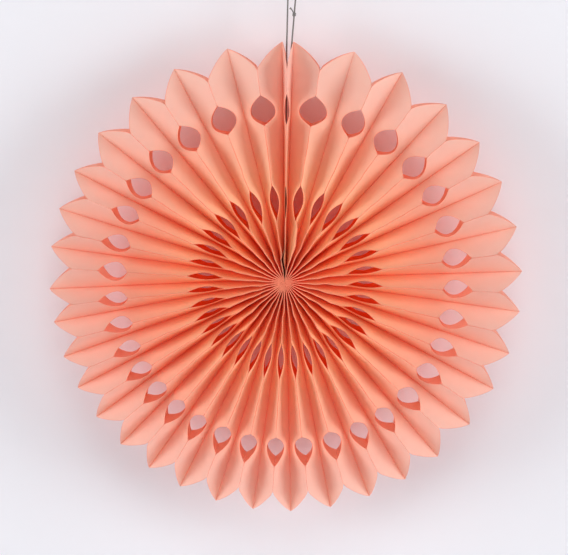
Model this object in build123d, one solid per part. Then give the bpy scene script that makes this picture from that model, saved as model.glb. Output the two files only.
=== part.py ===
from build123d import *
from math import cos, pi, radians, sin, sqrt, tan
import os

# Paper fan rosette, a honeycomb of die-cut tissue leaves that is opened into a full disc.
# Each leaf is one flat strip. Neighbours are glued in turn along their middle line and along
# their front and back edges, so the stack opens into diamond cells that stand round the hub.
# The disc is upright: its front faces -Y and +Z is up. The origin is the point where the
# hanging loop bears on its hook. All lengths are in millimetres.

# Leaves
TIP_RADIUS = 150.0              # hub axis to the point of a petal
NOTCH_RADIUS = 133.6            # hub axis to the notch between two petals
LEAF_HALF_WIDTH = 22.0          # middle line to the front or back edge of a flat leaf
PAPER = 0.15
HUB_SLACK_SHARE = 1.4           # room at the hub over the bare thickness of the stack
FOLD_STATION_SHARES = (0.0, 0.46, 1.0)  # where the soft folds cross, hub to notch
RIM_CURVE = 1.25                # 1 gives a straight flank from point to notch, more a fuller one
RIM_CHORDS = 3                  # straight cuts that follow the flank

# Half holes cut into the edges of a flat leaf. A pair of leaves opens each into a whole hole.
OUTER_HOLE_START = 98.9         # radius at its hub end
OUTER_HOLE_WIDEST = 106.8
OUTER_HOLE_END = 117.5
OUTER_HOLE_DEPTH = 13.0         # cut in from the edge
INNER_HOLE_START = 38.1
INNER_HOLE_WIDEST = 50.5
INNER_HOLE_END = 62.3
INNER_HOLE_DEPTH = 11.5
BLUNT_CURVE = 2.0               # hub side of the outer hole
POINTED_CURVE = 1.4             # all other sides
OUTER_HOLE_CHORDS = 3           # straight cuts on each side of the widest place
INNER_HOLE_CHORDS = 2

# Seam, where the first and last leaf of the stack meet
SEAM_PITCH_DEG = 2.6            # the squeezed cell at the seam, point to point
FIRST_POINT_DEG = 90.7          # first point left of the seam, from +X towards +Z
SEAM_TAPE = 0.1                 # thickness
SEAM_TAPE_WIDTH = 3.0
SEAM_OPEN_RADIUS = 21.0         # the seam gapes from the hub out to here

# The stack was opened by hand, so its cells are not alike: each one's share of the turn,
# from the seam round by the left. They are widest at the top and narrowest low on the left.
CELL_PITCH_SHARES = (
    13.4, 13.7, 12.2, 11.9, 10.9, 9.9, 9.5, 10.4, 8.2, 8.8, 8.3, 8.5,
    9.0, 9.0, 8.9, 9.5, 9.3, 9.3, 9.8, 9.9, 9.7, 9.8, 11.1, 10.5,
    9.5, 10.5, 9.9, 10.9, 11.5, 11.0, 12.1, 13.2, 12.5, 14.9,
)

# Thread
THREAD = 1.0                    # diameter
THREAD_INNER_RADIUS = 34.0      # where the strands end between the two end leaves
THREAD_EXIT_RADIUS = 146.0      # where they leave the seam
STRAND_LEFT = 0.7               # centre of the left strand from the seam, at its exit
STRAND_RIGHT = 2.3
STRAND_DEPTH = 0.6              # the strands end one before the other, this far off the middle
LOOP_LEFT = 1.7                 # corners of the loop, right of the hub axis
LOOP_RIGHT = 6.8
LOOP_TOP = 181.5                # centre line of the thread over its hook, above the hub axis
CORNER_SHARE = 0.45             # of the shorter run, for an arc of the thread
KNOT_HEIGHT = 166.6             # above the hub axis, on the right strand
KNOT_WIDTH = 2.2
KNOT_LENGTH = 2.8
KNOT_BEVEL = 0.6
KNOT_CLEARANCE = 0.05           # round the strand that passes through
TAIL_THICKNESS = 0.7
TAIL_BEND_LEFT = 1.5            # the tail's bend, seen from the middle of the knot
TAIL_BEND_UP = 3.1
TAIL_END_LEFT = 2.7             # and its frayed end
TAIL_END_UP = 4.1
FRAY_WIDTH = 1.4

OVERRUN = 2.0                   # how far cutting shapes reach past what they cut

CELLS = len(CELL_PITCH_SHARES) + 1      # with the squeezed one at the seam
LEAVES = 2 * CELLS
HUB_RADIUS = LEAVES * PAPER * HUB_SLACK_SHARE / (2 * pi)
LOOP_MIDDLE = (LOOP_LEFT + LOOP_RIGHT) / 2
HUB = Vector(-LOOP_MIDDLE, 0, THREAD / 2 - LOOP_TOP)
FRONT = Vector(0, -1, 0)
SEAM_CELL = CELLS - 1


def direction(degrees):
    """Unit vector in the plane of the disc, from +X towards +Z."""
    return Vector(cos(radians(degrees)), 0, sin(radians(degrees)))


# Rim angles of the middle lines, one for each petal, and of the ridges between them
open_turn = 360 - SEAM_PITCH_DEG
middle_deg = [FIRST_POINT_DEG]
for pitch_share in CELL_PITCH_SHARES:
    middle_deg.append(middle_deg[-1] + pitch_share * open_turn / sum(CELL_PITCH_SHARES))
middle_deg.append(FIRST_POINT_DEG + 360)
ridge_deg = [(a + b) / 2 for a, b in zip(middle_deg, middle_deg[1:])]
seam_deg = ridge_deg[SEAM_CELL] - 360


class FoldLine:
    """A glued line seen from the front: straight from its place in the stack at the hub,
    where all leaves stand evenly, to its own place on the rim."""

    def __init__(self, place, rim_deg):
        self.start = direction(seam_deg + place * 360 / LEAVES) * HUB_RADIUS
        self.unit = (direction(rim_deg) * TIP_RADIUS - self.start).normalized()

    def at(self, radius):
        return self.start + self.unit * (radius - HUB_RADIUS)


middle_lines = [FoldLine(2 * i + 1, middle_deg[i]) for i in range(CELLS)]
ridge_lines = [FoldLine(2 * i + 2, ridge_deg[i]) for i in range(CELLS)]


class Cell:
    """One diamond cell, in its own frame: x along the ridge, y across it in the disc,
    z towards the front. Both of its leaves take their edges and holes from here."""

    def __init__(self, number):
        self.ridge = ridge_lines[number]
        self.sides = {-1: middle_lines[number], 1: middle_lines[(number + 1) % CELLS]}
        self.x = self.ridge.unit
        self.y = FRONT.cross(self.x)
        self.gap = SEAM_TAPE / 2 if number == SEAM_CELL else 0
        self.radii = [
            HUB_RADIUS + share * (NOTCH_RADIUS - HUB_RADIUS) for share in FOLD_STATION_SHARES
        ]
        self.depths = [self.ridge_depth(radius) for radius in self.radii]

    def spread(self, radius, side):
        """Distance across from the ridge to the middle line on one side."""
        return abs((self.sides[side].at(radius) - self.ridge.at(radius)).dot(self.y))

    def ridge_depth(self, radius):
        """Depth of the outer edge: the flat width of the leaf stays what it was cut to."""
        across = (self.spread(radius, -1) + self.spread(radius, 1)) / 2 - PAPER - self.gap
        return sqrt(LEAF_HALF_WIDTH**2 - across**2)

    def edge_depth(self, radius):
        """Depth of the outer edge between two stations, where it runs straight."""
        spans = list(zip(self.radii, self.radii[1:], self.depths, self.depths[1:]))
        for low, high, z_low, z_high in spans:
            if radius <= high:
                break
        return z_low + (z_high - z_low) * (radius - low) / (high - low)

    def world(self, radius, y, z):
        """A point given by its place along the ridge, across it and in depth."""
        return HUB + self.ridge.at(radius) + self.y * y + FRONT * z


def half_hole(cell, front, start, widest, end, depth, start_curve, end_curve, chords):
    """Outline of a half hole in the side view, open at the edge of the leaf. From the
    widest place the cut returns to the edge as one minus a power of the distance."""
    lean = cell.edge_depth(widest) / LEAF_HALF_WIDTH
    outline = [(end, front * (cell.edge_depth(end) + OVERRUN))]
    for i in range(chords + 1):
        share = 1 - i / chords
        radius = widest + share * (end - widest)
        cut = depth * lean * (1 - share**end_curve)
        outline.append((radius, front * (cell.edge_depth(radius) - cut)))
    for i in range(1, chords + 1):
        share = i / chords
        radius = widest + share * (start - widest)
        cut = depth * lean * (1 - share**start_curve)
        outline.append((radius, front * (cell.edge_depth(radius) - cut)))
    outline.append((start, front * (cell.edge_depth(start) + OVERRUN)))
    return outline


def rim_outline(cell):
    """Rim of a leaf in the side view: from the notch over the point to the other notch.
    The drop from the point is a power of the distance from the middle line."""
    middle = cell.sides[1]
    tip = cell.x.dot(middle.at(TIP_RADIUS) - cell.ridge.start) + HUB_RADIUS
    notch_depth = cell.edge_depth(NOTCH_RADIUS)
    outline = []
    for i in range(-RIM_CHORDS, RIM_CHORDS + 1):
        share = i / RIM_CHORDS
        radius = tip - (tip - NOTCH_RADIUS) * abs(share) ** RIM_CURVE
        outline.append((radius, notch_depth * share))
    return outline


def side_stencil(cell):
    """Everything that both leaves of a cell keep in the side view, as a thick block."""
    reach = LEAF_HALF_WIDTH + OVERRUN
    rim = rim_outline(cell)
    outline = [(0, -reach), (NOTCH_RADIUS, -reach)] + rim + [(NOTCH_RADIUS, reach), (0, reach)]
    cuts = []
    for front in (-1, 1):
        cuts.append(
            half_hole(cell, front, OUTER_HOLE_START, OUTER_HOLE_WIDEST, OUTER_HOLE_END,
                      OUTER_HOLE_DEPTH, BLUNT_CURVE, POINTED_CURVE, OUTER_HOLE_CHORDS)
        )
        cuts.append(
            half_hole(cell, front, INNER_HOLE_START, INNER_HOLE_WIDEST, INNER_HOLE_END,
                      INNER_HOLE_DEPTH, POINTED_CURVE, POINTED_CURVE, INNER_HOLE_CHORDS)
        )
    plane = Plane(origin=cell.world(0, 0, 0), x_dir=cell.x, z_dir=FRONT.cross(cell.x))
    stencil = make_face(Polyline(*outline, close=True))
    for cut in cuts:
        stencil -= make_face(Polyline(*cut, close=True))
    half_block = max(cell.spread(TIP_RADIUS, 1), cell.spread(TIP_RADIUS, -1)) + OVERRUN
    return extrude(plane * stencil, amount=half_block, both=True)


def sheet(points, push):
    """A flat facet of paper: its outline pushed through by the thickness."""
    face = Face(Wire.make_polygon(points, close=True))
    return Solid.extrude(face, push)


def leaf(cell, side):
    """One die-cut leaf, from its middle line on one side of the cell to both edges.
    It is worked out as the facets of its outer surface, thickened towards the cell.
    Between two stations a panel is two flat triangles, because it twists on its way out."""
    push = cell.y * (-side * PAPER)
    middle = cell.sides[side]
    folds = [HUB + middle.at(radius) for radius in cell.radii]
    tip = HUB + middle.at(TIP_RADIUS + OVERRUN)
    facets = []
    for front in (-1, 1):
        edges = [
            cell.world(radius, side * (PAPER + cell.gap), front * depth)
            for radius, depth in zip(cell.radii, cell.depths)
        ]
        for i in range(len(folds) - 1):
            facets.append(sheet([folds[i], folds[i + 1], edges[i]], push))
            facets.append(sheet([folds[i + 1], edges[i + 1], edges[i]], push))
        rim_corner = edges[-1] + tip - folds[-1]
        facets.append(sheet([folds[-1], tip, rim_corner, edges[-1]], push))
    return facets[0].fuse(*facets[1:]).clean()


def one_solid(shape, name):
    """The single solid of a shape, or a plain message when it fell apart."""
    solids = shape.solids()
    if len(solids) != 1:
        print(name, "has", len(solids), "solids")
    return solids[0]


cells = [Cell(number) for number in range(CELLS)]
stencils = [side_stencil(cell) for cell in cells]
parts = {}

# Petals: two leaves glued along their middle line, one from the cell on either side
for number in range(CELLS):
    before = (number - 1) % CELLS
    right_leaf = leaf(cells[before], 1) & stencils[before]
    left_leaf = leaf(cells[number], -1) & stencils[number]
    name = f"petal_{number + 1:02d}"
    parts[name] = Compound(children=[one_solid(right_leaf, name), one_solid(left_leaf, name)])

# Tape in the seam, on the lands between the holes, from where the seam stops gaping
seam = cells[SEAM_CELL]
for name, front in (("front_seam_tape", 1), ("back_seam_tape", -1)):
    stations = list(zip(seam.radii, seam.depths))
    outer = [seam.world(radius, seam.gap, front * depth) for radius, depth in stations]
    inner = [point - FRONT * (front * SEAM_TAPE_WIDTH) for point in outer]
    tape = sheet(inner + outer[::-1], seam.y * -SEAM_TAPE) & stencils[SEAM_CELL]
    gape_plane = Plane(origin=seam.world(SEAM_OPEN_RADIUS, 0, 0), x_dir=seam.y, z_dir=seam.x)
    tape = split(tape, bisect_by=gape_plane, keep=Keep.TOP)
    parts[name] = Compound(children=tape.solids())


def strand_exit(y):
    """Where a strand leaves the seam between the two end leaves."""
    return seam.world(THREAD_EXIT_RADIUS, y, 0)


def thread_tube(path):
    """A round thread along a path."""
    return sweep(Plane(origin=path @ 0, z_dir=path % 0) * Circle(THREAD / 2), path=path)


# The two strands inside the seam, side by side at the rim and one before the other inside
left_exit = strand_exit(STRAND_LEFT)
right_exit = strand_exit(-STRAND_RIGHT)
strands = []
for outer_end, front in ((left_exit, 1), (right_exit, -1)):
    inner_end = seam.world(THREAD_INNER_RADIUS, 0, front * STRAND_DEPTH)
    strands.append(thread_tube(Line(inner_end, outer_end)).solid())
parts["thread_in_seam"] = Compound(children=strands)

# The free loop: up from the left strand, over the hook and down into the right strand
route = [
    left_exit,
    HUB + Vector(LOOP_LEFT, 0, LOOP_TOP),
    HUB + Vector(LOOP_RIGHT, 0, LOOP_TOP),
    right_exit,
]
radii = []
for before_point, point, after_point in zip(route, route[1:], route[2:]):
    turn = (point - before_point).get_angle(after_point - point)
    shorter = min((point - before_point).length, (after_point - point).length)
    radii.append(CORNER_SHARE * shorter / tan(radians(turn) / 2))
print("thread radii", [round(radius, 2) for radius in radii])
loop_path = FilletPolyline(*route, radius=radii)
loop = thread_tube(loop_path).solid()
print("thread length", round(loop_path.length, 2), "volume", round(loop.volume, 3),
      "section times length", round(pi * THREAD**2 / 4 * loop_path.length, 3))
parts["hanging_thread"] = loop

# The knot on the right strand, with its tail curling up towards the left strand
strand_up = (route[2] - route[3]).normalized()
knot_middle = route[3] + strand_up * ((HUB.Z + KNOT_HEIGHT - route[3].Z) / strand_up.Z)
knot_plane = Plane(origin=knot_middle, x_dir=FRONT.cross(strand_up), z_dir=strand_up)
knot = knot_plane * Cylinder(KNOT_WIDTH / 2, KNOT_LENGTH)
knot = chamfer(knot.edges().filter_by(GeomType.CIRCLE), KNOT_BEVEL)
tail_bend = knot_middle + Vector(-TAIL_BEND_LEFT, 0, TAIL_BEND_UP)
tail_end = knot_middle + Vector(-TAIL_END_LEFT, 0, TAIL_END_UP)
on_the_end = (Align.CENTER, Align.CENTER, Align.MIN)
to_bend = tail_bend - knot_middle
to_end = tail_end - tail_bend
tail = Cylinder(TAIL_THICKNESS / 2, to_bend.length + TAIL_THICKNESS / 2, align=on_the_end)
tail = Plane(origin=knot_middle, z_dir=to_bend) * tail
fray = Cone(TAIL_THICKNESS / 2, FRAY_WIDTH / 2, to_end.length, align=on_the_end)
fray = Plane(origin=tail_bend, z_dir=to_end) * fray
strand_bore = knot_plane * Cylinder(THREAD / 2 + KNOT_CLEARANCE, KNOT_LENGTH + 2 * OVERRUN)
parts["thread_knot"] = one_solid(knot + tail + fray - strand_bore, "thread_knot")

os.makedirs("parts", exist_ok=True)
for name, shape in parts.items():
    export_step(shape, f"parts/{name}.step")
print(len(parts), "nodes written")
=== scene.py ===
import math
import bpy
import numpy as np
from mathutils import Matrix, Vector


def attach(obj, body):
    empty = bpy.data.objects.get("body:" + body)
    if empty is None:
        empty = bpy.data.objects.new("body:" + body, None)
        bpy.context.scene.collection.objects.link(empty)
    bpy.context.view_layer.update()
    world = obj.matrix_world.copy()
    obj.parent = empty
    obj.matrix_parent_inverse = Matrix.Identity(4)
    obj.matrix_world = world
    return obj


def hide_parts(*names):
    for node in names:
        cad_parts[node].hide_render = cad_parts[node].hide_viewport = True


# Paper fan rosette: tissue leaves glued into a honeycomb, opened to a full disc and hung
# on a thread. Lengths below are in millimetres where nothing else is said, and the meshes
# are written in metres.

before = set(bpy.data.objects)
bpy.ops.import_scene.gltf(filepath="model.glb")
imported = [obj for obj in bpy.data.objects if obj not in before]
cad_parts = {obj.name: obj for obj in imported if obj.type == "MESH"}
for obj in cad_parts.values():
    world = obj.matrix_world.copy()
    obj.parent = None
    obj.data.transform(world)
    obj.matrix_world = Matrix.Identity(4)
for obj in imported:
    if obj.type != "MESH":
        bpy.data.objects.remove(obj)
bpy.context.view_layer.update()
millimetre = 0.001
print("frame loaded:", len(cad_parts), "solids")


def addObject(name, data):
    piece = bpy.data.objects.new(name, data)
    bpy.context.scene.collection.objects.link(piece)
    return piece


view = {
    "place": (25.45, -1598.9, 11.2),
    "turn": -0.0191,           # to the left, in radians
    "tilt": -0.1191,           # downwards
    "focal": 2542.4,           # in pixels of the picture's width
    "pictureWidth": 568,
    "sensor": 36,
    "clip": (0.1, 30),         # in metres
}


def aimCamera():
    turn, tilt = view["turn"], view["tilt"]
    right = Vector((math.cos(turn), -math.sin(turn), 0))
    forward = Vector((
        math.sin(turn) * math.cos(tilt),
        math.cos(turn) * math.cos(tilt),
        math.sin(tilt),
    ))
    up = right.cross(forward)
    lens = bpy.data.cameras.new("camera")
    lens.sensor_fit = "HORIZONTAL"
    lens.sensor_width = view["sensor"]
    lens.lens = view["focal"] * view["sensor"] / view["pictureWidth"]
    lens.clip_start, lens.clip_end = view["clip"]
    camera = addObject("camera", lens)
    axes = Matrix((right, up, -forward)).transposed()
    camera.matrix_world = Matrix.Translation(Vector(view["place"]) * millimetre) @ axes.to_4x4()
    bpy.context.scene.camera = camera


aimCamera()


def startMaterial(name):
    material = bpy.data.materials.new(name)
    material.use_nodes = True
    material.node_tree.nodes.clear()
    return material, material.node_tree


def addNode(tree, kind, place, inputs=None, **settings):
    # among the inputs, another node's output is linked, and anything else is the socket's value
    node = tree.nodes.new(kind)
    node.location = place
    for key, value in settings.items():
        setattr(node, key, value)
    for key, value in (inputs or {}).items():
        if isinstance(value, bpy.types.NodeSocket):
            tree.links.new(value, node.inputs[key])
        else:
            node.inputs[key].default_value = value
    return node


def finishMaterial(material, tree, shader):
    addNode(tree, "ShaderNodeOutputMaterial", (300, 100), {"Surface": shader})
    return material


def noise(tree, place, where, grain):
    inputs = {"Vector": where, **grain}
    return addNode(tree, "ShaderNodeTexNoise", place, inputs).outputs["Fac"]


def colourRamp(tree, place, stops, value):
    ramp = addNode(tree, "ShaderNodeValToRGB", place, {"Fac": value})
    elements = ramp.color_ramp.elements
    while len(elements) < len(stops):
        elements.new(0.5)
    for element, (position, colour) in zip(elements, stops):
        element.position = position
        element.color = (*colour, 1)
    return ramp.outputs["Color"]


def mapRange(tree, place, value, source, target):
    inputs = {
        "Value": value,
        "From Min": source[0],
        "From Max": source[1],
        "To Min": target[0],
        "To Max": target[1],
    }
    return addNode(tree, "ShaderNodeMapRange", place, inputs).outputs["Result"]


def mixColour(tree, place, blend, share, under, over):
    # the colour sockets of a mix node have the numbers 6, 7 and, on its way out, 2
    inputs = {0: share, 6: under, 7: (*over, 1)}
    node = addNode(tree, "ShaderNodeMix", place, inputs, data_type="RGBA", blend_type=blend)
    return node.outputs[2]


# The colour is the dye with painted light on it: deeper and redder towards the hub, a painted shade
# for the light passed many times between the leaves, and paler and pinker towards the rim, a
# painted highlight where most light falls. Its stops, like those of the glow, stand at shares of
# the radius of the tips. Noise scales are per metre.
tissue = {
    "dyeAndPaintedLight": (
        (0.0, (1.0, 0.28, 0.15)),
        (0.03, (1.0, 0.31, 0.17)),
        (0.1, (1.0, 0.61, 0.36)),
        (0.3, (1.0, 0.62, 0.36)),
        (0.45, (1.0, 0.67, 0.44)),
        (0.65, (0.995, 0.71, 0.54)),
        (0.82, (0.99, 0.765, 0.66)),
        (1.0, (0.985, 0.785, 0.705)),
    ),
    "clouds": {"Scale": 140.0, "Detail": 4.0, "Roughness": 0.6},
    "cloudFrom": (0.3, 0.7),
    "cloudShare": 0.1,         # by which the dye varies in soft clouds
    "cloudDye": (1.0, 0.55, 0.4),
    "edgeColour": (1.0, 0.30, 0.185),
    "edgeShare": 0.8,          # at glued edges two layers of dye lie on each other
    "edgeWidth": 0.5,
    # painted shade: deeper on the back halves of the leaves towards the hub, deep in the cells,
    # and nearly black inside the two end leaves beside it, where the open seam lies in shade
    "backPaintedShade": (1.0, 0.85, 0.52),
    "seamShadeColour": (0.16, 0.015, 0.012),
    # the colour and the share of the light that passes a leaf, in the valleys and at the rim
    "glow": ((0.55, (1.0, 0.47, 0.21)), (0.8, (1.0, 0.68, 0.52))),
    "glowShares": (0.15, 0.38),
    "glowFrom": (0.38, 0.72),
    "fibres": {"Scale": 900.0, "Detail": 3.0, "Roughness": 0.7},
    "fibreStrength": 0.25,
    "fibreHeight": 0.3,
    "roughness": 0.9,
}


def makeTissue():
    material, tree = startMaterial("tissuePaper")
    where = addNode(tree, "ShaderNodeTexCoord", (-1500, 0)).outputs["Object"]
    reach, edge, behind, seamShade = (
        addNode(tree, "ShaderNodeAttribute", (-1250, height), attribute_name=name).outputs["Fac"]
        for name, height in (("reach", 900), ("edge", 500), ("behind", 1100), ("seamShade", 1300))
    )
    clouds = noise(tree, (-1250, 150), where, tissue["clouds"])
    thick = mapRange(tree, (-1000, 150), clouds, tissue["cloudFrom"], (0.0, tissue["cloudShare"]))
    nearEdge = (0.0, tissue["edgeWidth"])
    doubled = mapRange(tree, (-1000, 450), edge, nearEdge, (tissue["edgeShare"], 0.0))
    # the ramp by reach lays painted shade near the hub and a painted highlight towards the rim over
    # the dye
    dyeAndPaintedLight = colourRamp(tree, (-1000, 900), tissue["dyeAndPaintedLight"], reach)
    dyeAndPaintedLight = mixColour(tree, (-800, 500), "MULTIPLY", thick, dyeAndPaintedLight, tissue["cloudDye"])
    dyeAndPaintedLight = mixColour(tree, (-600, 500), "MIX", doubled, dyeAndPaintedLight, tissue["edgeColour"])
    # painted shade on the back halves of the leaves near the hub, deep in the cells
    dyeAndPaintedLight = mixColour(tree, (-400, 500), "MULTIPLY", behind, dyeAndPaintedLight, tissue["backPaintedShade"])
    # painted shade: nearly black inside the seam's end leaves near the hub, where the open seam is
    # dark
    dyeAndPaintedLight = mixColour(tree, (-200, 500), "MIX", seamShade, dyeAndPaintedLight, tissue["seamShadeColour"])
    fibres = noise(tree, (-1250, -150), where, tissue["fibres"])
    bump = addNode(tree, "ShaderNodeBump", (-600, -100), {
        "Strength": tissue["fibreStrength"],
        "Distance": tissue["fibreHeight"] * millimetre,
        "Height": fibres,
    })
    surface = addNode(tree, "ShaderNodeBsdfPrincipled", (-250, 200), {
        "Base Color": dyeAndPaintedLight,
        "Roughness": tissue["roughness"],
        "Specular IOR Level": 0.0,
        "Normal": bump.outputs["Normal"],
    })
    glow = colourRamp(tree, (-600, -400), tissue["glow"], reach)
    through = addNode(tree, "ShaderNodeBsdfTranslucent", (-250, -300), {"Color": glow})
    sheer = mapRange(tree, (-250, -500), reach, tissue["glowFrom"], tissue["glowShares"])
    parts = {0: sheer, 1: surface.outputs[0], 2: through.outputs[0]}
    both = addNode(tree, "ShaderNodeMixShader", (50, 100), parts)
    return finishMaterial(material, tree, both.outputs[0])


tape = {
    "tones": ((0.3, (0.80, 0.36, 0.24)), (0.7, (0.90, 0.46, 0.34))),
    "fibres": {"Scale": 600.0, "Detail": 3.0},
    "roughness": 0.7,
}


def makeTape():
    material, tree = startMaterial("seamTape")
    where = addNode(tree, "ShaderNodeTexCoord", (-900, 0)).outputs["Object"]
    fibres = noise(tree, (-650, 0), where, tape["fibres"])
    tone = colourRamp(tree, (-400, 0), tape["tones"], fibres)
    inputs = {"Base Color": tone, "Roughness": tape["roughness"]}
    surface = addNode(tree, "ShaderNodeBsdfPrincipled", (-50, 0), inputs)
    return finishMaterial(material, tree, surface.outputs[0])


# Twisted yarn: stripes that climb across the thread, lighter on each ply, with painted shade dark
# in the grooves between
yarn = {
    "tones": ((0.1, (0.09, 0.083, 0.08)), (0.75, (0.31, 0.29, 0.28))),
    "stripes": {"Scale": 450.0, "Distortion": 1.5, "Detail Scale": 2.0},
    "climb": 35,               # in degrees
    "fuzz": {"Scale": 4000.0, "Detail": 2.0},
    "bumpStrength": 0.7,
    "bumpHeight": 0.2,
    "roughness": 0.8,
    "sheen": 0.3,
}


def makeYarn():
    material, tree = startMaterial("greyYarn")
    where = addNode(tree, "ShaderNodeTexCoord", (-1300, 0)).outputs["Object"]
    turn = (0, math.radians(yarn["climb"]), 0)
    slant = addNode(tree, "ShaderNodeMapping", (-1100, 0), {"Vector": where, "Rotation": turn})
    stripes = {"Vector": slant.outputs["Vector"], **yarn["stripes"]}
    wave = addNode(tree, "ShaderNodeTexWave", (-850, 100), stripes, bands_direction="Z")
    ply = wave.outputs["Fac"]
    fuzz = noise(tree, (-850, -250), where, yarn["fuzz"])
    # the dark end of these tones is painted shade between the plies
    tone = colourRamp(tree, (-550, 150), yarn["tones"], ply)
    height = addNode(tree, "ShaderNodeMath", (-550, -200), {0: ply, 1: fuzz}, operation="ADD")
    bump = addNode(tree, "ShaderNodeBump", (-300, -200), {
        "Strength": yarn["bumpStrength"],
        "Distance": yarn["bumpHeight"] * millimetre,
        "Height": height.outputs[0],
    })
    surface = addNode(tree, "ShaderNodeBsdfPrincipled", (-50, 0), {
        "Base Color": tone,
        "Roughness": yarn["roughness"],
        "Sheen Weight": yarn["sheen"],
        "Normal": bump.outputs["Normal"],
    })
    return finishMaterial(material, tree, surface.outputs[0])


tissuePaper, seamTape, greyYarn = makeTissue(), makeTape(), makeYarn()
print("materials made")


# The loop's control points, from the left strand's exit over the hook to the right strand's
loop = {
    "thickness": 1.0,
    "length": 74.2,
    "stepsAlong": 24,          # from one control point to the next
    "stepsRound": 4,           # in a quarter of the thread's round
    "points": (
        (-3.4211, 0, -35.0007),
        (-2.69, 0, -5.5),
        (-2.55, 0, 0.5),
        (2.55, 0, 0.5),
        (2.05, 0, -5.5),
        (-0.4212, 0, -35.0321),
    ),
}


def makeLoop():
    curve = bpy.data.curves.new("threadLoop", "CURVE")
    curve.dimensions = "3D"
    spline = curve.splines.new("NURBS")
    spline.points.add(len(loop["points"]) - 1)
    for point, place in zip(spline.points, loop["points"]):
        point.co = (*(Vector(place) * millimetre), 1)
    spline.order_u = 3
    spline.use_endpoint_u = True
    spline.resolution_u = loop["stepsAlong"]
    curve.bevel_depth = loop["thickness"] / 2 * millimetre
    curve.bevel_resolution = loop["stepsRound"]
    curve.use_fill_caps = True
    curve.materials.append(greyYarn)
    piece = addObject("threadLoop", curve)
    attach(piece, "root")
    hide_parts("hanging_thread")


makeLoop()
for name, material in (
    ("thread_knot", greyYarn),
    ("thread_in_seam", greyYarn),
    ("front_seam_tape", seamTape),
    ("back_seam_tape", seamTape),
):
    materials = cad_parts[name].data.materials
    materials.clear()
    materials.append(material)
print("thread made")


# Cells are counted from the seam round by the left, and the seam's own squeezed cell is last.
# A cell has the number of its ridge, and its first middle line has the same number.
fan = {
    "hub": (-4.25, 0, -181.0),
    "stackRadius": 2.34,       # of the solids' hub, where all leaves stand evenly
    "coreShares": (0.02, 0.2, 0.45, 0.72),    # of that radius, for the rows inside it
    "tipRadius": 150.0,
    "notchRadius": 133.6,
    "halfWidth": 22.0,
    "paper": 0.06,
    "air": 0.02,               # between glued leaves and the plane they meet in
    "ridgeRoom": 0.15,         # each leaf's share of a ridge, as the solids have it
    "rimCurve": 1.25,
    "tipWidth": 0.35,          # half the blunt end of a point
    "seamPitch": 2.6,
    "firstPoint": 90.7,        # in degrees, as all angles here
    "pitchShares": (
        13.4, 13.7, 12.2, 11.9, 10.9, 9.9, 9.5, 10.4, 8.2, 8.8, 8.3, 8.5,
        9.0, 9.0, 8.9, 9.5, 9.3, 9.3, 9.8, 9.9, 9.7, 9.8, 11.1, 10.5,
        9.5, 10.5, 9.9, 10.9, 11.5, 11.0, 12.1, 13.2, 12.5, 14.9,
    ),
    # the ridges that clearly stand off from halfway between their points, in degrees
    "ridgeShift": {5: -0.65, 7: -0.85, 8: -0.65, 15: 0.3, 21: 0.35, 22: 0.3, 26: 0.3, 32: -0.75},
    "sharpFrom": 35,           # edges are sharp where faces meet at more than this
}
cells = len(fan["pitchShares"]) + 1
seamCell = cells - 1

outerHole = {
    "start": 98.6,
    "widest": 106.8,
    "end": 118.2,
    "depth": 13.4,
    "blunt": 2.3,
    "pointed": 1.9,
}
innerHole = {
    "start": 38.1,
    "widest": 50.0,
    "end": 62.6,
    "depth": 12.0,
    "blunt": 1.8,
    "pointed": 1.7,
}

# The bend of a panel, as shares of the way from the middle line to the ridge: how far the glued
# strips reach, how wide the bends beside them are, and how much fuller the valley is than a V
innerBend = {
    "middleStrip": 0.0,
    "middleBend": 0.05,
    "ridgeStrip": 0.03,
    "ridgeBend": 0.12,
    "fuller": 0.15,
}
outerBend = {
    "middleStrip": 0.02,
    "middleBend": 0.07,
    "ridgeStrip": 0.02,
    "ridgeBend": 0.06,
    "fuller": 0.0,
}
bendChange = (88.0, 104.0)     # radii between which the inner bend becomes the outer one

# A glued edge swells to a thin bead, which is the bright line of a ridge. Left of the hub the
# beads are pressed wider.
bead = {
    "width": 0.18,
    "depth": 1.4,
    "fades": (84.0, 99.0),
    "pressedTowards": 195.0,   # in degrees
    "pressedWidth": 0.3,
    "pressedFades": (3.5, 9.0),
}
# The ridges lean a little to one side and the other on their way out
leaning = {
    "seed": 4,
    "width": 0.55,
    "nearHub": (3.0, 16.0),
    "rimShare": 0.35,
    "rimFrom": (45.0, 100.0),
    "waves": (11.0, 17.0, 29.0),
    "bend": (0.72, 1.0),       # share of the panel that goes with the ridge
}
# The front ridges at the seam and right of it belly out
bellies = {
    seamCell: {"far": 1.6, "from": 3.0, "widest": 14.0, "to": 23.0},
    seamCell - 1: {"far": -2.6, "from": 6.0, "widest": 26.0, "to": 50.0},
}
# Beside the hub the seam stands open at the front and at the back
seamGape = {
    "width": 0.95,
    "from": 1.5,
    "widest": 9.0,
    "to": 23.0,
    "bend": (0.5, 1.0),
    # the painted shade inside the open seam's end leaves fades out between these radii
    "seamShadeFades": (18.0, 30.0),
}
# The painted shade on the back halves, deep in the cells near the hub: how far back it is full,
# and the radii where it ends
backShadeSpan = {"backwards": (0.0, 0.5), "fades": (60.0, 90.0)}
towardsFront = np.array([0.0, -1.0, 0.0])

openTurn = 360 - fan["seamPitch"]
steps = np.array(fan["pitchShares"]) * openTurn / sum(fan["pitchShares"])
middleDegrees = np.concatenate([[0], np.cumsum(steps), [360]]) + fan["firstPoint"]
ridgeDegrees = (middleDegrees[:-1] + middleDegrees[1:]) / 2
ridgeDegrees += [fan["ridgeShift"].get(ridge, 0.0) for ridge in range(cells)]
seamDegrees = ridgeDegrees[-1] - 360


def direction(degrees):
    angle = np.radians(degrees)
    return np.array([np.cos(angle), 0.0, np.sin(angle)])


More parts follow.
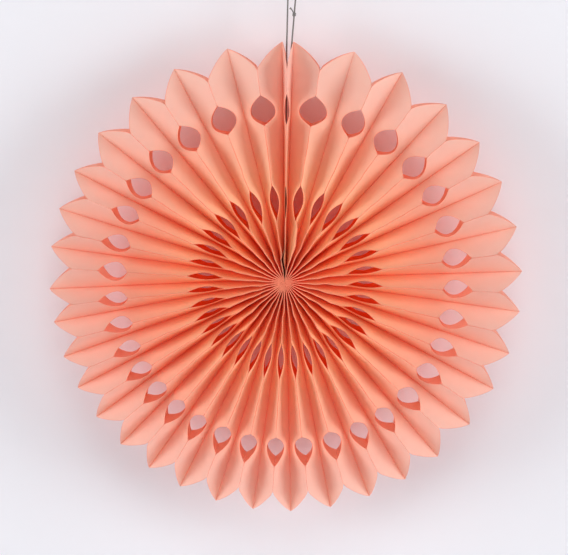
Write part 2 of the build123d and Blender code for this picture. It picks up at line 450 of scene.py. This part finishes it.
def foldLine(place, rimDegrees):
    # straight from its even place on the stack's circle to its own place on the rim
    start = direction(seamDegrees + place * 180 / cells) * fan["stackRadius"]
    unit = direction(rimDegrees) * fan["tipRadius"] - start
    return start, unit / np.linalg.norm(unit)


middleLines = [foldLine(2 * i + 1, middleDegrees[i]) for i in range(cells)]
ridgeLines = [foldLine(2 * i + 2, ridgeDegrees[i]) for i in range(cells)]


def smoothStep(low, high, value):
    share = np.clip((value - low) / (high - low), 0, 1)
    return share * share * (3 - 2 * share)


def bulge(form, radius):
    # rises smoothly to the widest place and falls smoothly behind it
    rise = smoothStep(form["from"], form["widest"], radius)
    return rise * (1 - smoothStep(form["widest"], form["to"], radius))


# The panel's course from middle line (0) to ridge (1): the slope rises over the middle bend,
# stays nearly level and falls over the ridge bend. Its running sum, brought to 1, is the course.
courseSteps = 400
shareGrid = np.linspace(0, 1, courseSteps + 1)


def courseTable(bend):
    ridgeStart = 1 - bend["ridgeStrip"]
    slope = smoothStep(bend["middleStrip"], bend["middleStrip"] + bend["middleBend"], shareGrid)
    slope = slope * (1 - smoothStep(ridgeStart - bend["ridgeBend"], ridgeStart, shareGrid))
    slope = slope * (1 + bend["fuller"] * (1 - 2 * shareGrid))
    table = np.concatenate([[0], np.cumsum((slope[1:] + slope[:-1]) / 2)])
    return table / table[-1]


innerCourse, outerCourse = courseTable(innerBend), courseTable(outerBend)


def course(share, radius):
    outer = smoothStep(*bendChange, radius)[:, None]
    inside = np.interp(share, shareGrid, innerCourse)
    outside = np.interp(share, shareGrid, outerCourse)
    return inside * (1 - outer) + outside * outer


# Phases of the lean's waves for each ridge, front and back
phaseShape = (cells, 2, len(leaning["waves"]))
phases = np.random.default_rng(leaning["seed"]).uniform(0, 2 * np.pi, phaseShape)


def leanOf(cell, radius, z):
    # a sum of sines of the radius, none at the hub or in the seam, and less towards the rim
    def waves(face):
        sines = [
            np.sin(2 * np.pi * radius / length + phases[cell, face, i]) / len(leaning["waves"])
            for i, length in enumerate(leaning["waves"])
        ]
        return np.sum(sines, 0)
    size = leaning["width"] * smoothStep(*leaning["nearHub"], radius)
    size = size * (1 - (1 - leaning["rimShare"]) * smoothStep(*leaning["rimFrom"], radius))
    size = size * (cell != seamCell)
    front, back = waves(0) * size, waves(1) * size
    if cell in bellies:
        front = front + bellies[cell]["far"] * bulge(bellies[cell], radius)
    return np.where(z > 0, front[:, None], back[:, None])


def biteOf(hole, radius):
    # cut in from the edge: one minus a power of the distance from the widest place
    inward = radius < hole["widest"]
    share = np.where(
        inward,
        (hole["widest"] - radius) / (hole["widest"] - hole["start"]),
        (radius - hole["widest"]) / (hole["end"] - hole["widest"]),
    )
    power = np.where(inward, hole["blunt"], hole["pointed"])
    return hole["depth"] * (1 - np.clip(share, 0, 1) ** power)


def swellOf(cell, radius, distance, fromRidge):
    # a bead's width fades outwards, never passes the cell's half, and rises towards the ridge
    width = bead["width"] * (1 - smoothStep(*bead["fades"], radius))
    facing = math.cos(math.radians(ridgeDegrees[cell] - bead["pressedTowards"]))
    pressed = bead["pressedWidth"] * max(0.0, facing) ** 2
    width = width + pressed * (1 - smoothStep(*bead["pressedFades"], radius))
    width = np.minimum(width, np.maximum(distance - fan["paper"] - 2 * fan["air"], 0))
    return width[:, None] * smoothStep(-bead["depth"], 0, -fromRidge)


# How many radii each stretch of a leaf gets, and how they crowd towards its ends
rowCounts = {"toHole": 13, "holeSide": 8, "land": 9, "toNotch": 5, "toTip": 10}
rowPowers = {"toHole": 1.2, "holeSide": 1.5, "toTip": 1.6}
lastShare = 0.02               # of the way from the tip back to the notch, for the last row


def holeRows(hole):
    crowded = np.linspace(0, 1, rowCounts["holeSide"]) ** rowPowers["holeSide"]
    return [
        hole["start"] + (hole["widest"] - hole["start"]) * crowded[1:],
        hole["widest"] + (hole["end"] - hole["widest"]) * (1 - crowded[::-1])[1:],
    ]


def stations(tip):
    # radii of the rows, closer where an edge turns
    fromHub = np.linspace(0, 1, rowCounts["toHole"]) ** rowPowers["toHole"]
    toTip = np.linspace(1, 0, rowCounts["toTip"])[1:-1] ** rowPowers["toTip"]
    return np.concatenate([
        fan["stackRadius"] + (innerHole["start"] - fan["stackRadius"]) * fromHub,
        *holeRows(innerHole),
        np.linspace(innerHole["end"], outerHole["start"], rowCounts["land"])[1:],
        *holeRows(outerHole),
        np.linspace(outerHole["end"], fan["notchRadius"], rowCounts["toNotch"])[1:],
        tip - (tip - fan["notchRadius"]) * toTip,
        [tip - (tip - fan["notchRadius"]) * lastShare],
    ])


# Shares of the depth at which the columns stand, from the middle line to either edge
columns = np.array([
    0, 0.035, 0.08, 0.14, 0.21, 0.3, 0.42, 0.56, 0.7, 0.8,
    0.88, 0.93, 0.953, 0.965, 0.977, 0.988, 1.0,
])
columns = np.concatenate([-columns[:0:-1], columns])


def leafGrid(cell, side):
    # Points of one leaf's sheet. Along a row the leaf runs from its back edge through the
    # middle line to its front edge. Across the disc it follows the middle line's distance from
    # the ridge, times one minus the course, and in depth it is as far out as its flat width allows.
    ridgeStart, alongRidge = ridgeLines[cell]
    middleStart, alongMiddle = middleLines[cell if side < 0 else (cell + 1) % cells]
    across = np.cross(towardsFront, alongRidge)
    offset = middleStart - ridgeStart
    tipPoint = offset + alongMiddle * (fan["tipRadius"] - fan["stackRadius"])
    tip = tipPoint @ alongRidge + fan["stackRadius"]
    radius = stations(tip)
    run = (radius - fan["stackRadius"] - offset @ alongRidge) / (alongMiddle @ alongRidge)
    distance = np.abs((offset[None, :] + alongMiddle[None, :] * run[:, None]) @ across)

    squeezed = np.maximum(distance - fan["ridgeRoom"], 0)
    fullDepth = np.sqrt(fan["halfWidth"] ** 2 - squeezed ** 2)
    notchDepth = np.interp(fan["notchRadius"], radius, fullDepth)
    toTip = np.clip((tip - radius) / (tip - fan["notchRadius"]), 0, 1)
    rimDepth = notchDepth * toTip ** (1 / fan["rimCurve"])
    depth = np.where(radius > fan["notchRadius"], rimDepth, fullDepth)
    bites = biteOf(outerHole, radius) + biteOf(innerHole, radius)
    depth = np.maximum(depth - bites * fullDepth / fan["halfWidth"], fan["tipWidth"])

    z = columns[None, :] * depth[:, None]
    share = np.clip(np.abs(z) / fullDepth[:, None], 0, 1)
    bent = course(share, radius)
    glued = fan["paper"] + fan["air"]
    atMiddle = np.maximum(distance - fan["air"], glued)
    swell = swellOf(cell, radius, distance, fullDepth[:, None] - np.abs(z))
    y = side * (atMiddle[:, None] * (1 - bent) + glued * bent + swell)
    y = y + leanOf(cell, radius, z) * smoothStep(*leaning["bend"], share)
    if cell == seamCell:
        gape = seamGape["width"] * bulge(seamGape, radius)
        y = y + side * gape[:, None] * smoothStep(*seamGape["bend"], share)

    base = np.array(fan["hub"]) + ridgeStart + alongRidge * (radius[:, None] - fan["stackRadius"])
    outward = base[:, None, :] + across * y[:, :, None] + towardsFront * z[:, :, None]
    inward = outward - across * side * (fan["paper"] + swell)[:, :, None]
    return radius, outward, inward, depth[:, None] - np.abs(z)


def leafSheet(cell, side):
    # a leaf's two faces, each with the values that its paint goes by
    radius, outward, inward, edge = leafGrid(cell, side)
    hub = np.array(fan["hub"])
    # inside the stack's circle the first row is drawn in towards the hub, again and again
    flat = np.diag([1.0, 0.0, 1.0])
    shares = np.array(fan["coreShares"])
    outward, inward = (
        np.concatenate([sheet[0] + ((sheet[0] - hub) @ flat) * (shares[:, None, None] - 1), sheet])
        for sheet in (outward, inward)
    )
    edge = np.concatenate([np.repeat(edge[:1], len(shares), 0), edge])
    radius = np.concatenate([fan["stackRadius"] * shares, radius])[:, None] * np.ones_like(edge)
    nearHub = 1 - smoothStep(*seamGape["seamShadeFades"], radius)
    backwards = smoothStep(*backShadeSpan["backwards"], -columns)[None, :]
    outside = {
        "edge": edge,
        "reach": radius / fan["tipRadius"],
        "seamShade": 0 * radius,
        # where the painted shade of the back halves near the hub lies
        "behind": backwards * (1 - smoothStep(*backShadeSpan["fades"], radius)),
    }
    # inside the seam's end leaves near the hub the colour is painted shade
    inside = {**outside, "seamShade": nearHub if cell == seamCell else 0 * radius}
    return (outward, outside), (inward, inside)


def shellFaces(rows, cols, first, flip):
    # two sheets of quads, and a strip round their rim that joins them
    index = np.arange(rows * cols).reshape(rows, cols)
    corners = [index[:-1, :-1], index[1:, :-1], index[1:, 1:], index[:-1, 1:]]
    quads = np.stack(corners, -1).reshape(-1, 4)
    under = quads[:, ::-1] + rows * cols
    rim = np.concatenate([index[0, :-1], index[:-1, -1], index[-1, :0:-1], index[:0:-1, 0]])
    after = np.roll(rim, -1)
    strip = np.stack([rim, after, after + rows * cols, rim + rows * cols], -1)
    faces = np.concatenate([quads, under, strip]) + first
    return faces[:, ::-1] if flip else faces


def makePetal(number):
    before = (number - 1) % cells
    sheets, faces, first = [], [], 0
    for cell, side in ((before, 1), (number, -1)):
        sheets += leafSheet(cell, side)
        rows, cols = sheets[-1][0].shape[:2]
        faces.append(shellFaces(rows, cols, first, side > 0))
        first += 2 * rows * cols
    points = np.concatenate([sheet.reshape(-1, 3) for sheet, paint in sheets])
    faces = np.concatenate(faces)
    name = f"petal{number + 1:02d}"
    mesh = bpy.data.meshes.new(name)
    mesh.from_pydata(points * millimetre, [], faces.tolist())
    for key in ("edge", "reach", "seamShade", "behind"):
        values = np.concatenate([paint[key].ravel() for sheet, paint in sheets])
        mesh.attributes.new(key, "FLOAT", "POINT").data.foreach_set("value", values)
    mesh.polygons.foreach_set("use_smooth", np.ones(len(faces), bool))
    mesh.set_sharp_from_angle(angle=math.radians(fan["sharpFrom"]))
    mesh.materials.append(tissuePaper)
    piece = addObject(name, mesh)
    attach(piece, "root")
    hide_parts(f"petal_{number + 1:02d}")


for number in range(cells):
    makePetal(number)
print("petals made:", cells)


room = {
    "wallBehind": 40.0,        # behind the hub's middle
    "wallLean": 0.05,          # how fast the wall comes nearer upwards: the fan leans to it
    "wallHigh": 4000.0,
    "floorBelow": 2200.0,
    "halfWidth": 4000.0,
    "halfDepth": 6000.0,
    "wallColour": (0.885, 0.89, 0.935),
    "floorColour": (0.84, 0.82, 0.84),
    "skyColour": (1.0, 0.985, 1.0),
    "skyStrength": 0.25,
    "bounces": 48,             # light is passed on many times between the leaves
}
# name, place in metres, size in metres, power in watts
lamps = (
    ("leftSoftbox", (-2.3, -1.2, -0.1), 1.4, 34.5),
    ("rightSoftbox", (2.3, -1.2, -0.1), 1.4, 36.5),
    ("highSoftbox", (0.2, -2.4, 1.55), 1.4, 19.0),
    ("lowSoftbox", (0.2, -2.3, -1.8), 1.2, 5.0),
)
lampAim = Vector((0, 0, -0.18))


def stageSheet(name, corners, colour, clearFromBehind):
    mesh = bpy.data.meshes.new(name)
    mesh.from_pydata(corners, [], [(0, 1, 2, 3)])
    piece = addObject(name, mesh)
    material, tree = startMaterial(name)
    surface = addNode(tree, "ShaderNodeBsdfDiffuse", (-300, 0), {"Color": (*colour, 1)})
    shader = surface.outputs[0]
    if clearFromBehind:
        back = addNode(tree, "ShaderNodeNewGeometry", (-500, 300)).outputs["Backfacing"]
        clear = addNode(tree, "ShaderNodeBsdfTransparent", (-300, -200))
        parts = {0: back, 1: shader, 2: clear.outputs[0]}
        shader = addNode(tree, "ShaderNodeMixShader", (0, 0), parts).outputs[0]
    mesh.materials.append(finishMaterial(material, tree, shader))


def setStage():
    low, high = -room["floorBelow"] * millimetre, room["wallHigh"] * millimetre
    wide, deep = room["halfWidth"] * millimetre, room["halfDepth"] * millimetre
    hubHeight = fan["hub"][2] * millimetre
    foot, head = (
        room["wallBehind"] * millimetre - room["wallLean"] * (z - hubHeight)
        for z in (low, high)
    )
    wall = [(-wide, foot, low), (wide, foot, low), (wide, head, high), (-wide, head, high)]
    floor = [(-wide, -deep, low), (wide, -deep, low), (wide, deep, low), (-wide, deep, low)]
    stageSheet("wall", wall, room["wallColour"], True)
    stageSheet("floor", floor, room["floorColour"], False)
    world = bpy.data.worlds.new("studio")
    bpy.context.scene.world = world
    world.use_nodes = True
    sky = world.node_tree.nodes["Background"]
    sky.inputs["Color"].default_value = (*room["skyColour"], 1)
    sky.inputs["Strength"].default_value = room["skyStrength"]
    for name, place, size, power in lamps:
        light = bpy.data.lights.new(name, "AREA")
        light.shape = "SQUARE"
        light.size = size
        light.energy = power
        lamp = addObject(name, light)
        lamp.visible_camera = False
        lamp.location = place
        lamp.rotation_euler = (lampAim - Vector(place)).to_track_quat("-Z", "Y").to_euler()
    bpy.context.scene.view_settings.view_transform = "Standard"
    bpy.context.scene.cycles.max_bounces = room["bounces"]
    bpy.context.scene.cycles.diffuse_bounces = room["bounces"]


setStage()
print("stage set")
